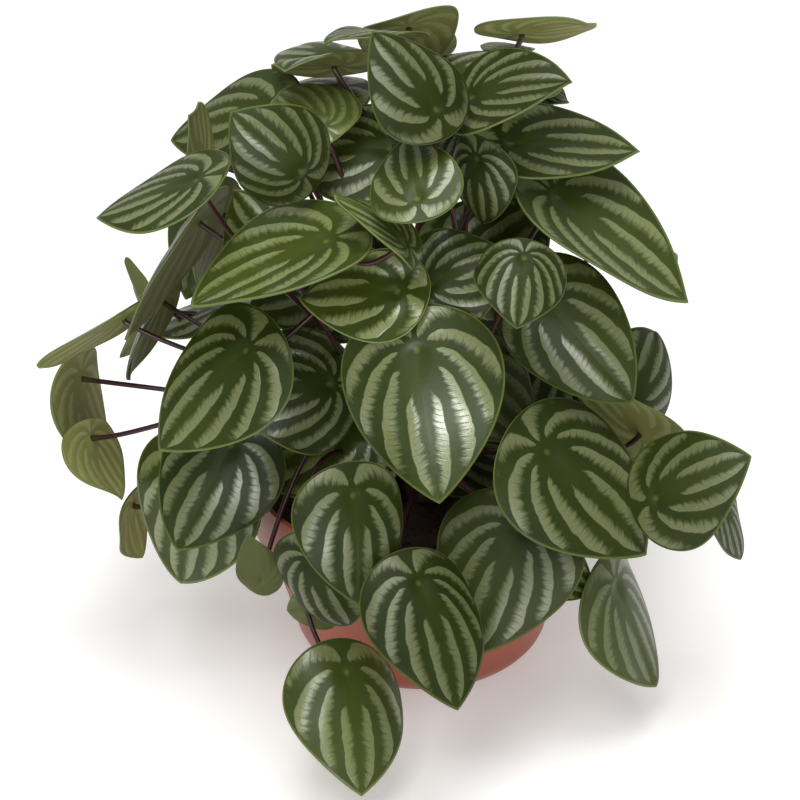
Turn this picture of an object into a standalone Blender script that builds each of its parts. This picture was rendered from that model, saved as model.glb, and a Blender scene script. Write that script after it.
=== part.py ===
"""Potted watermelon peperomia: a pot, its potting mix, the crown and the leaves.

Metres, +Z up. The origin is the middle of the pot's base, on the surface it stands on, and the side that is
meant to be seen looks along -Y. Each leaf is one solid: a blade on the petiole that it grew with.
"""

import math
from dataclasses import dataclass

import bmesh
import bpy
from mathutils import Quaternion, Vector

MM = 0.001
MERGE = 0.00001
UP = Vector((0, 0, 1))

# Pot: a shallow round one with a deep rim band and a rounded foot.
POT_HEIGHT = 80 * MM
RIM_RADIUS = 70 * MM
RIM_BAND = 22 * MM
RIM_STEP = 4 * MM
WALL = 2 * MM
FLOOR = 2.5 * MM
FOOT_RADIUS = 53 * MM
FOOT_ROUNDING = 12 * MM
FOOT_STEPS = 4
POT_SEGMENTS = 40
RIM_BEVEL = 0.7 * MM
DRAIN_COUNT = 6
DRAIN_RADIUS = 3.5 * MM
DRAIN_CIRCLE = 27 * MM
DRAIN_SEGMENTS = 12

# Potting mix, and the crown that the petioles grow from.
GAP = 0.3 * MM
SOIL_DEPTH = 8 * MM
CROWN_RADIUS = 18 * MM
CROWN_SEGMENTS = 20
CROWN_STEPS = 5

# Leaves. A share is of the blade's length, or of the petiole's span from foot to joint.
JOINT_TO_TIP = 0.77
TIP_POWER = 0.8
BLADE_THICKNESS = 1.2 * MM
BLADE_RINGS = 2
BLADE_SEGMENTS = 12
PETIOLE_RADIUS = 1.2 * MM
PETIOLE_POINTS = 5
PETIOLE_SINK = 0.6 * MM
PETIOLE_NECK = 2.6 * MM
PETIOLE_FOOT = 2 * MM
FOOT_LIFT = 0.8
FOOT_REACH = 0.4
JOINT_REACH = 0.35
STEEP = 0.15


@dataclass(frozen=True)
class Leaf:
    """One leaf, in millimetres and degrees.

    The joint is where the petiole meets the blade, inside its margin. The tip is where the midrib ends. Roll
    turns the blade about the line between them, from lying as level as it can. Droop is how far the midrib bends
    from joint to tip, and cup how far each half bends from midrib to margin, down if positive. Root is the
    bearing and the height in degrees of the petiole's foot on the crown. Bow is how far the petiole swings
    sideways, lift how far it climbs before it turns to the joint, and lean how squarely it comes to the blade.
    """

    name: str
    joint: tuple
    tip: tuple
    roll: float
    width: float
    droop: float
    cup: float
    root: tuple
    bow: float = 0
    lift: float = 0
    lean: float = 0.7


LEAVES = (
    Leaf("leaf_01", (-29, -98, 48), (-23, -130, 14), -15, 54, 30, 42, (245, 4), -36, 60),
    Leaf("leaf_02", (-2, -107, 95), (12, -135, 58), -5, 52, 35, 40, (270, 18), 0, 0),
    Leaf("leaf_03", (-26, -92, 123), (-25, -104, 83), -18, 48, 35, 38, (274, 32), 0, 0),
    Leaf("leaf_04", (-42, -84, 89), (-29, -76, 53), 139, 43, 51, 38, (240, 25)),
    Leaf("leaf_05", (35, -76, 98), (18, -96, 54), -20, 58, 24, 20, (300, 18), 0, 0),
    Leaf("leaf_06", (46, -66, 126), (85, -74, 85), 33, 62, 24, 22, (309, 32), 0, 0),
    Leaf("leaf_07", (86, -75, 111), (120, -79, 132), 45, 48, 30, 28, (345, 18), 28, 0),
    Leaf("leaf_08", (116, -45, 90), (125, -46, 64), 16, 30, 35, 15, (330, 25), 0, 0, 1.5),
    Leaf("leaf_09", (75, -64, 64), (92, -69, 19), 10, 54, 5, 30, (290, 18), -30, 40),
    Leaf("leaf_10", (-3, -57, 164), (6, -75, 109), 32, 64, 26, 28, (275, 46), 0, 0),
    Leaf("leaf_11", (-67, -48, 159), (-100, -54, 119), -32, 56, 22, 28, (290, 60), 0, 130),
    Leaf("leaf_12", (-74, -42, 114), (-96, -52, 72), -50, 52, 28, 28, (206, 32), 0, 0),
    Leaf("leaf_13", (-87, -30, 93), (-98, -30, 41), -56, 61, 20, 4, (180, 25)),
    Leaf("leaf_14", (-36, -29, 134), (-76, -37, 132), -50, 56, 34, 40, (212, 46), 0, 0),
    Leaf("leaf_15", (-36, -48, 205), (-85, -64, 187), -3, 58, 10, -16, (190, 74), -20, 105),
    Leaf("leaf_16", (-10, -46, 183), (-47, -32, 173), -40, 40, 28, 28, (240, 60), -12, 0),
    Leaf("leaf_17", (2, -40, 183), (33, -30, 190), 40, 44, 30, 33, (270, 60), 0, 0),
    Leaf("leaf_18", (36, -52, 200), (33, -72, 181), -10, 38, 30, 40, (291, 32), -12, 0),
    Leaf("leaf_19", (44, -39, 176), (79, -51, 138), 60, 50, 22, 42, (318, 46), 0, 0),
    Leaf("leaf_20", (51, -9, 204), (101, -24, 167), 8, 62, 6, -22, (350, 53)),
    Leaf("leaf_21", (33, 3, 221), (83, 10, 215), 11, 51, 6, -9, (10, 60)),
    Leaf("leaf_22", (17, -17, 248), (53, -26, 258), 22, 42, 28, -5, (340, 67)),
    Leaf("leaf_23", (4, -43, 254), (-19, -25, 276), -15, 42, 32, 34, (270, 74), 30, 10, 1.5),
    Leaf("leaf_24", (-3, -60, 227), (-6, -32, 238), -16, 35, 30, 15, (230, 74), 0, 105, 4),
    Leaf("leaf_25", (19, -22, 225), (22, -15, 195), -163, 34, 37, 43, (0, 74), -40, -20),
    Leaf("leaf_26", (-45, -33, 225), (-70, -31, 248), -68, 44, 42, 48, (210, 60), 0, 0),
    Leaf("leaf_27", (-61, 42, 218), (-101, 56, 198), -30, 52, 27, 23, (148, 46)),
    Leaf("leaf_28", (-38, 1, 229), (-56, 21, 234), -20, 44, 30, 30, (180, 60)),
    Leaf("leaf_29", (-83, -41, 226), (-121, -32, 206), -10, 48, 10, 13, (160, 53), -10, 0, 1.5),
    Leaf("leaf_30", (-86, 18, 206), (-87, -4, 235), 83, 39, 20, 0, (160, 67), 0, 0, 1.5),
    Leaf("leaf_31", (-7, -53, 206), (-33, -46, 221), 8, 33, 38, -4, (135, 80), -12, 100, 6),
    Leaf("leaf_32", (-11, 19, 259), (-37, -1, 262), 15, 39, 32, 0, (103, 74), 0, 0),
    Leaf("leaf_33", (-6, 41, 253), (-1, 66, 225), -22, 41, 5, -14, (90, 60), 0, 0),
    Leaf("leaf_34", (37, 25, 257), (60, -5, 272), -18, 46, 17, 0, (70, 60), 20, 25),
    Leaf("leaf_35", (-34, 25, 244), (-52, -6, 254), 20, 40, 42, 6, (60, 74), -40),
    Leaf("leaf_36", (85, 9, 105), (98, 48, 116), 47, 46, 38, 42, (0, 32), 0, 0),
    Leaf("leaf_37", (87, -14, 103), (63, -37, 136), 5, 56, 60, 6, (343, 32), 0, 0),
    Leaf("leaf_38", (-119, 7, 144), (-148, -31, 143), 46, 48, 9, 10, (190, 39)),
    Leaf("leaf_39", (-139, 14, 112), (-122, -8, 78), 140, 46, 60, -8, (170, 32), 0, -20),
    Leaf("leaf_40", (-133, -10, 98), (-119, -28, 81), 150, 37, 60, 0, (180, 46), 0, 10),
    Leaf("leaf_41", (-121, 10, 54), (-119, 15, 24), -87, 32, 25, 18, (195, 18), 6, 10),
    Leaf("leaf_42", (-87, -1, 190), (-112, -40, 159), 62, 60, 25, 19, (140, 60)),
    Leaf("leaf_43", (-107, 38, 135), (-118, 2, 118), 69, 46, 34, 26, (165, 18), 0, 0),
    Leaf("leaf_44", (-82, 53, 167), (-90, 15, 150), 87, 46, 40, 0, (154, 32), 0, 0),
    Leaf("leaf_45", (-62, -66, 67), (-67, -66, 89), -90, 18, 10, 16, (220, 18), 0, 75),
    Leaf("leaf_46", (44, 58, 195), (74, 96, 176), 0, 56, 30, 30, (50, 53)),
    Leaf("leaf_47", (4, 72, 206), (8, 122, 190), 0, 54, 30, 30, (85, 46), 0, 0),
    Leaf("leaf_48", (-55, 66, 196), (-84, 104, 174), 0, 54, 30, 30, (127, 46), 0, 0),
    Leaf("leaf_49", (-32, 88, 142), (-42, 134, 116), 0, 56, 30, 30, (106, 46), 0, 0),
    Leaf("leaf_50", (38, 92, 146), (54, 134, 118), 0, 56, 30, 30, (64, 46), 0, 0),
    Leaf("leaf_51", (74, 58, 153), (108, 84, 133), 0, 54, 30, 30, (40, 46)),
    Leaf("leaf_52", (-84, 68, 118), (-118, 96, 92), 0, 52, 30, 30, (137, 32), 0, 0),
    Leaf("leaf_53", (8, 98, 92), (12, 136, 58), 0, 56, 30, 30, (86, 32), 0, 0),
    Leaf("leaf_54", (-48, 90, 76), (-64, 124, 42), 0, 52, 30, 30, (120, 32), 0, 20),
    Leaf("leaf_55", (64, 80, 80), (92, 108, 46), 0, 52, 30, 30, (51, 32), 0, 10),
    Leaf("leaf_56", (28, 45, 232), (50, 83, 220), 0, 50, 30, 30, (30, 53)),
    Leaf("leaf_57", (-35, 56, 236), (-54, 90, 224), 0, 42, 30, 30, (120, 60)),
)


def clear_scene():
    """Remove the objects that the file opened with."""
    for thing in list(bpy.data.objects):
        bpy.data.objects.remove(thing, do_unlink=True)


def add_collection(name):
    """Return a new collection linked to the scene."""
    group = bpy.data.collections.new(name)
    bpy.context.scene.collection.children.link(group)
    return group


def add_material(name, colour, roughness):
    """Return a Principled material with a linear colour."""
    material = bpy.data.materials.new(name)
    material.use_nodes = True
    shader = material.node_tree.nodes["Principled BSDF"]
    shader.inputs["Base Color"].default_value = (*colour, 1)
    shader.inputs["Roughness"].default_value = roughness
    shader.inputs["Metallic"].default_value = 0
    return material


def add_object(name, mesh, group, material=None):
    """Return a new object of this mesh, in a collection and with a material."""
    thing = bpy.data.objects.new(name, mesh)
    group.objects.link(thing)
    if material:
        mesh.materials.append(material)
    return thing


def mesh_from(name, shape):
    """Return a smooth mesh of a bmesh, which is freed."""
    mesh = bpy.data.meshes.new(name)
    shape.to_mesh(mesh)
    shape.free()
    mesh.shade_smooth()
    return mesh


def turned(name, profile, segments, group, material):
    """Return a solid turned about Z from a profile of radius and height that runs down its outer side."""
    shape = bmesh.new()
    points = [shape.verts.new((radius, 0, height)) for radius, height in profile]
    for pair in zip(points, points[1:]):
        shape.edges.new(pair)
    solid = add_object(name, mesh_from(name, shape), group, material)
    screw = solid.modifiers.new("Turn", "SCREW")
    screw.axis = "Z"
    screw.angle = math.tau
    screw.steps = segments
    screw.render_steps = segments
    screw.use_merge_vertices = True
    screw.merge_threshold = MERGE
    screw.use_smooth_shade = True
    return solid


def foot_arc():
    """Return the foot's rounding, as radius and height, from the side of the pot to its base."""
    arc = []
    for step in range(FOOT_STEPS + 1):
        angle = math.radians(90) * step / FOOT_STEPS
        radius = FOOT_RADIUS - FOOT_ROUNDING * (1 - math.cos(angle))
        arc.append((radius, FOOT_ROUNDING * (1 - math.sin(angle))))
    return arc


def inside_profile(inset):
    """Return the pot's inner side from floor to mouth, moved in by an inset."""
    band_bottom = POT_HEIGHT - RIM_BAND
    return [
        (0, FLOOR + inset),
        (FOOT_RADIUS - FOOT_ROUNDING - inset, FLOOR + inset),
        (FOOT_RADIUS - WALL - inset, FOOT_ROUNDING + inset),
        (RIM_RADIUS - RIM_STEP - WALL - inset, band_bottom + WALL / 2 + inset),
        (RIM_RADIUS - WALL - inset, band_bottom + WALL * 1.5 + inset),
    ]


def drain_cutter(group):
    """Return one mesh of the drain holes, in a ring that leaves the base's middle whole."""
    shape = bmesh.new()
    for hole in range(DRAIN_COUNT):
        ends = {"cap_ends": True, "radius1": DRAIN_RADIUS, "radius2": DRAIN_RADIUS, "depth": 4 * FLOOR}
        rod = bmesh.ops.create_cone(shape, segments=DRAIN_SEGMENTS, **ends)
        angle = math.tau * hole / DRAIN_COUNT
        place = Vector((math.cos(angle), math.sin(angle), 0)) * DRAIN_CIRCLE
        bmesh.ops.translate(shape, verts=rod["verts"], vec=place)
    return hide(add_object("drain_cutter", mesh_from("drain_cutter", shape), group))


def hide(thing):
    """Return an object that only cuts or joins, shown as wires."""
    thing.display_type = "WIRE"
    thing.hide_render = True
    return thing


def combine(thing, other, operation):
    """Add an exact Boolean with another object."""
    boolean = thing.modifiers.new(operation.title(), "BOOLEAN")
    boolean.operation = operation
    boolean.solver = "EXACT"
    boolean.object = other


def make_pot(group, cutters, material):
    """Return the pot: one thin wall from rim to base, with drain holes."""
    band_bottom = POT_HEIGHT - RIM_BAND
    profile = inside_profile(0)
    profile += [
        (RIM_RADIUS - WALL, POT_HEIGHT),
        (RIM_RADIUS, POT_HEIGHT),
        (RIM_RADIUS, band_bottom),
        (RIM_RADIUS - RIM_STEP, band_bottom),
    ]
    profile += foot_arc()
    profile.append((0, 0))
    pot = turned("pot", profile, POT_SEGMENTS, group, material)
    rounding = pot.modifiers.new("Rounded rim", "BEVEL")
    rounding.width = RIM_BEVEL
    rounding.segments = 1
    rounding.limit_method = "ANGLE"
    rounding.angle_limit = math.radians(80)
    combine(pot, drain_cutter(cutters), "DIFFERENCE")
    return pot


def make_potting_mix(group, material):
    """Return the potting mix: it fills the pot to a little below the mouth."""
    top = POT_HEIGHT - SOIL_DEPTH
    profile = [(0, top), (RIM_RADIUS - WALL - GAP, top)]
    profile += reversed(inside_profile(GAP))
    return turned("potting_mix", profile, POT_SEGMENTS, group, material)


def crown_centre():
    """Return the middle of the crown's flat underside."""
    return Vector((0, 0, POT_HEIGHT - SOIL_DEPTH + GAP))


def make_crown(group, material):
    """Return the crown: a dome on the potting mix, where all the petioles start."""
    base = crown_centre().z
    profile = []
    for step in range(CROWN_STEPS + 1):
        angle = math.radians(90) * step / CROWN_STEPS
        profile.append((CROWN_RADIUS * math.sin(angle), base + CROWN_RADIUS * math.cos(angle)))
    profile.append((0, base))
    return turned("crown", profile, CROWN_SEGMENTS, group, material)


def spun_disc():
    """Return a bmesh of a flat disc of radius 1 about the origin, facing up."""
    disc = bmesh.new()
    spoke = [disc.verts.new((ring / BLADE_RINGS, 0, 0)) for ring in range(BLADE_RINGS + 1)]
    edges = [disc.edges.new(pair) for pair in zip(spoke, spoke[1:])]
    turn = {"cent": (0, 0, 0), "axis": UP, "angle": math.tau, "steps": BLADE_SEGMENTS, "use_merge": True}
    bmesh.ops.spin(disc, geom=spoke + edges, **turn)
    bmesh.ops.remove_doubles(disc, verts=disc.verts, dist=MERGE)
    bmesh.ops.recalc_face_normals(disc, faces=disc.faces)
    if sum(face.normal.z for face in disc.faces) < 0:
        bmesh.ops.reverse_faces(disc, faces=disc.faces)
    return disc


def bend(distance, height, curvature):
    """Return where a point lands when the straight line it stands over bends down to an arc."""
    if abs(curvature) < 0.01:
        return distance, height
    radius = 1 / curvature + height
    angle = distance * curvature
    return radius * math.sin(angle), radius * math.cos(angle) - 1 / curvature


def outline(spot):
    """Return how far along and across the blade a spot of the disc lies, as shares of length and half width."""
    reach = spot.length
    angle = math.atan2(spot.y, spot.x)
    widest = math.acos(-TIP_POWER / (TIP_POWER + 2))
    across = math.sin(angle) * abs(math.sin(angle / 2)) ** TIP_POWER
    across /= math.sin(widest) * math.sin(widest / 2) ** TIP_POWER
    along = (math.cos(angle) + 1) / 2 - (1 - JOINT_TO_TIP)
    return along * reach, across * reach


class Blade:
    """Where a leaf's blade lies: its directions at the joint, its length and its bends."""

    def __init__(self, leaf):
        self.joint = Vector(leaf.joint) * MM
        chord = Vector(leaf.tip) * MM - self.joint
        along = chord.normalized()
        off = self.level(along)
        off.rotate(Quaternion(along, math.radians(leaf.roll)))
        self.across = off.cross(along)
        droop = math.radians(leaf.droop)
        half_bend = Quaternion(self.across, -droop / 2)
        self.along = half_bend @ along
        self.off = half_bend @ off
        arc = chord.length * (droop / 2) / math.sin(droop / 2)
        self.length = arc / JOINT_TO_TIP
        self.half_width = leaf.width / 2 * MM
        self.droop = droop / arc
        self.cup = math.radians(leaf.cup) / self.half_width

    def level(self, along):
        """Return the direction square to the midrib that is nearest to up, or to outward on a steep blade."""
        off = UP - along * along.z
        if off.length < STEEP:
            outward = Vector((self.joint.x, self.joint.y, 0)).normalized()
            off = outward - along * outward.dot(along)
        return off.normalized()

    def place(self, spot):
        """Return the point of the blade that a spot of the disc becomes."""
        along, across = outline(spot)
        across, height = bend(across * self.half_width, 0, self.cup)
        along, height = bend(along * self.length, height, self.droop)
        return self.joint + self.along * along + self.across * across + self.off * height


def petiole_path(leaf, blade):
    """Return the petiole's points, from just off the crown to inside the blade, square to both."""
    bearing, height = (math.radians(angle) for angle in leaf.root)
    out = Vector((math.cos(height) * math.cos(bearing), math.cos(height) * math.sin(bearing), math.sin(height)))
    foot = crown_centre() + out * (CROWN_RADIUS + GAP)
    neck = blade.joint - blade.off * PETIOLE_NECK
    span = (blade.joint - foot).length
    toward = (blade.joint - foot) / span
    side = UP.cross(toward).normalized() * leaf.bow * MM
    start = (out + UP * FOOT_LIFT).normalized()
    lean = (blade.off * leaf.lean + blade.along * max(0, toward.dot(blade.along))).normalized()
    first = foot + start * span * FOOT_REACH + side + UP * leaf.lift * MM
    second = neck - lean * span * JOINT_REACH + side / 2
    path = [foot, foot + out * PETIOLE_FOOT]
    for step in range(1, PETIOLE_POINTS + 1):
        share = step / PETIOLE_POINTS
        rest = 1 - share
        early = foot * rest**3 + first * 3 * rest**2 * share
        path.append(early + second * 3 * rest * share**2 + neck * share**3)
    path.append(blade.joint - blade.off * PETIOLE_SINK)
    return path


def make_petiole(leaf, blade, cutters):
    """Return the petiole as a closed mesh object, ready to be joined to its blade."""
    name = f"{leaf.name}_petiole"
    path = petiole_path(leaf, blade)
    curve = bpy.data.curves.new(name, "CURVE")
    curve.dimensions = "3D"
    curve.bevel_depth = PETIOLE_RADIUS
    curve.bevel_resolution = 1
    curve.use_fill_caps = True
    spline = curve.splines.new("POLY")
    spline.points.add(len(path) - 1)
    for point, place in zip(spline.points, path):
        point.co = (*place, 1)
    guide = add_object(f"{name}_curve", curve, cutters)
    graph = bpy.context.evaluated_depsgraph_get()
    tube = bmesh.new()
    mesh = bpy.data.meshes.new_from_object(guide.evaluated_get(graph))
    tube.from_mesh(mesh)
    bpy.data.meshes.remove(mesh)
    bmesh.ops.remove_doubles(tube, verts=tube.verts, dist=MERGE)
    petiole = add_object(name, mesh_from(name, tube), cutters)
    petiole.matrix_world = guide.matrix_world
    bpy.data.objects.remove(guide, do_unlink=True)
    return hide(petiole)


def make_leaf(leaf, group, cutters, material):
    """Return one leaf: a blade of even thickness joined to its petiole."""
    blade = Blade(leaf)
    shape = spun_disc()
    for vert in shape.verts:
        vert.co = blade.place(vert.co)
    solid = add_object(leaf.name, mesh_from(leaf.name, shape), group, material)
    wall = solid.modifiers.new("Thickness", "SOLIDIFY")
    wall.thickness = BLADE_THICKNESS
    wall.offset = -1
    combine(solid, make_petiole(leaf, blade, cutters), "UNION")
    return solid


def main():
    """Build the pot, the potting mix, the crown and every leaf."""
    clear_scene()
    group = add_collection("potted_peperomia")
    cutters = add_collection("cutters")
    plastic = add_material("terracotta plastic", (0.32, 0.11, 0.075), 0.35)
    soil = add_material("potting mix", (0.02, 0.014, 0.01), 0.95)
    stem = add_material("crown", (0.09, 0.04, 0.02), 0.6)
    green = add_material("leaf", (0.09, 0.14, 0.05), 0.3)
    make_pot(group, cutters, plastic)
    make_potting_mix(group, soil)
    make_crown(group, stem)
    for leaf in LEAVES:
        make_leaf(leaf, group, cutters, green)


main()
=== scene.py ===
"""Potted watermelon peperomia: the visible model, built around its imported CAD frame.

Metres, +Z up. Each leaf is grown again over its CAD node, with its veins, silver bands and petiole. The pot,
the potting mix and the crown are made from the sizes of their nodes.
"""

import logging
import math
import random
from dataclasses import dataclass
from enum import Enum

import bmesh
import bpy
from mathutils import Euler, Matrix, Quaternion, Vector, noise


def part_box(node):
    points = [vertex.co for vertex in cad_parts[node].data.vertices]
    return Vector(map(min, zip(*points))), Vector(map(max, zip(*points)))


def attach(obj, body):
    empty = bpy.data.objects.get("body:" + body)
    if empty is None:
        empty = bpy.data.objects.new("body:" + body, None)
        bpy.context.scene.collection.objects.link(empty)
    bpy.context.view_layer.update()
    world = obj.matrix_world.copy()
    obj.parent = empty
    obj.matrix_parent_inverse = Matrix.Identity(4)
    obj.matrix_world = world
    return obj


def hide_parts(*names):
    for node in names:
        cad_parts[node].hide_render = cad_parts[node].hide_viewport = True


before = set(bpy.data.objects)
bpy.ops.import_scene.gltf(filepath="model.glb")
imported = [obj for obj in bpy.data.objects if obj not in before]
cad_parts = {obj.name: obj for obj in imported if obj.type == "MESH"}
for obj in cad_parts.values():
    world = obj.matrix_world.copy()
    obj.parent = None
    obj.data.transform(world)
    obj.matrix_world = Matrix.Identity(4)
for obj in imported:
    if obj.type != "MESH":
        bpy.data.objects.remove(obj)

log = logging.getLogger("peperomia")

MM = 0.001
MERGE = 0.00001
UP = Vector((0, 0, 1))
BODY = "root"
SMOOTHED = {"interpolation_type": "SMOOTHSTEP"}
COLOURS = {"data_type": "RGBA"}
Point = tuple[float, float]
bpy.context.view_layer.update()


def linear(colour: str) -> tuple[float, float, float, float]:
    """Turn an sRGB hex colour into the linear values that a shader reads.

    Args:
        colour: Six hex digits, red first.

    Returns:
        Linear red, green and blue, and an alpha of 1.
    """
    shares = [int(colour[start : start + 2], 16) / 255 for start in (0, 2, 4)]
    values = [share / 12.92 if share <= 0.04045 else ((share + 0.055) / 1.055) ** 2.4 for share in shares]
    return (*values, 1.0)


def smooth(low: float, high: float, value: float) -> float:
    """Rise from 0 at low to 1 at high, without a corner at either end.

    Args:
        low: Where the rise starts.
        high: Where it ends.
        value: Where it is read.

    Returns:
        The share, from 0 to 1.
    """
    share = min(1.0, max(0.0, (value - low) / (high - low)))
    return share * share * (3 - 2 * share)


class Finish:
    """A finish: makes its Blender material once and hands the same one out."""

    name = "finish"

    def __init__(self) -> None:
        """Build the material."""
        self.material = bpy.data.materials.new(self.name)
        self.material.use_nodes = True
        self.tree = self.material.node_tree
        self.shader = self.tree.nodes["Principled BSDF"]
        self.build()

    def build(self) -> None:
        """Add the finish's nodes. Each finish has its own."""
        raise NotImplementedError

    def feed(self, socket: bpy.types.NodeSocket, value: object) -> None:
        """Feed an input.

        Args:
            socket: The input.
            value: Its value, the output that it is linked to, or a node, whose first output in use is taken.
        """
        if isinstance(value, bpy.types.Node):
            value = next(output for output in value.outputs if output.enabled)
        if isinstance(value, bpy.types.NodeSocket):
            self.tree.links.new(value, socket)
        else:
            socket.default_value = value

    def add_node(self, kind: str, inputs: dict | None = None, **settings: object) -> bpy.types.Node:
        """Add a shader node with its settings, its input values and its links.

        Args:
            kind: The node's type, such as Math.
            inputs: Input name or number to what feeds it. A MapRange reads from 1 to 2 and gives from 3 to 4.
            settings: The node's own settings by name.

        Returns:
            The new node.
        """
        node = self.tree.nodes.new(f"ShaderNode{kind}")
        for name, value in settings.items():
            setattr(node, name, value)
        for key, value in (inputs or {}).items():
            self.feed(node.inputs[key], value)
        return node

    def set(self, **values: object) -> None:
        """Feed the shader's own sockets, named with _ for a space."""
        for name, value in values.items():
            self.feed(self.shader.inputs[name.replace("_", " ")], value)


class LeafFace(Finish):
    """Leaf skin: what the upper and the under face share, the bands that follow the veins."""

    wobble_mm = 6.0
    waviness = 0.05
    veinlet_mm = 2.4
    crisp = 0.07
    feather = 0.62

    def read_leaf(self) -> None:
        """Read what the leaf's mesh holds: its veins, its places, its tone, which carries painted shade and
        painted light, and how faded its bands are.
        """
        vein = self.add_node("Attribute", attribute_name="vein")
        self.number, self.room, self.reach = self.add_node("SeparateXYZ", {0: vein.outputs["Vector"]}).outputs
        self.spot = self.add_node("Attribute", attribute_name="place").outputs["Vector"]
        self.tone = self.add_node("Attribute", attribute_name="tone").outputs["Fac"]
        self.faded = self.add_node("Attribute", attribute_name="faded").outputs["Fac"]

    def bands(self) -> tuple[bpy.types.Node, bpy.types.Node]:
        """Work out where the silver bands lie between the veins.

        A band's edge towards the margin is crisp. Towards the midrib it frays into slanting streaks.

        Returns:
            The share of silver and the share of side vein.
        """
        add = self.add_node
        wobble = add("TexNoise", {"Vector": self.spot, "Scale": 1 / self.wobble_mm, "Detail": 3.0})
        shift = add("MapRange", {0: wobble, 1: 0.3, 2: 0.7, 3: -self.waviness, 4: self.waviness})
        number = add("Math", {0: self.number, 1: shift}, operation="ADD")
        fraction = add("Math", {0: number}, operation="FRACT")
        side = add("Math", {0: fraction, 1: 2.0, 2: -1.0}, operation="MULTIPLY_ADD")
        slant = add("Math", {0: side, 1: self.veinlet_mm}, operation="MULTIPLY")
        along = add("Math", {0: self.reach, 1: slant}, operation="SUBTRACT")
        lane = add("Math", {0: number}, operation="FLOOR")
        row = add("CombineXYZ", {0: along, 1: side, 2: lane})
        fine = {"Vector": row, "Scale": 1 / self.veinlet_mm * 1.6, "Detail": 3.0, "Roughness": 0.6}
        streak = add("TexNoise", fine)
        turn = math.tau / 20 / self.veinlet_mm
        rows = {"Vector": row, "Scale": turn, "Distortion": 4.0, "Detail": 2.0, "Detail Scale": 1.1}
        comb = add("TexWave", rows, bands_direction="X", wave_profile="TRI").outputs["Fac"]
        taper = add("MapRange", {0: side, 1: -0.6, 2: 0.55, 3: 0.72, 4: 1.02})
        ahead = add("Math", {0: comb, 1: taper}, operation="SUBTRACT")
        veinlet = add("MapRange", {0: ahead, 1: -0.1, 2: 0.14, 3: 0.0, 4: 1.0}, **SMOOTHED)
        outer = add("Math", {0: self.room, 1: side}, operation="SUBTRACT")
        edge = add("MapRange", {0: outer, 1: -self.crisp, 2: self.crisp, 3: 0.0, 4: 1.0}, **SMOOTHED)
        inner = add("Math", {0: self.room, 1: side}, operation="ADD")
        fray = add("Math", {0: streak, 1: -1.1, 2: inner}, operation="MULTIPLY_ADD")
        ends = {1: -self.feather, 2: self.feather - 0.5, 3: 0.0, 4: 1.0}
        frayed = add("MapRange", {0: fray, **ends}, **SMOOTHED)
        share = add("Math", {0: edge, 1: frayed}, operation="MULTIPLY")
        shown = add("Math", {0: 1.0, 1: self.faded}, operation="SUBTRACT")
        return add("Math", {0: share, 1: shown}, operation="MULTIPLY"), veinlet


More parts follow.
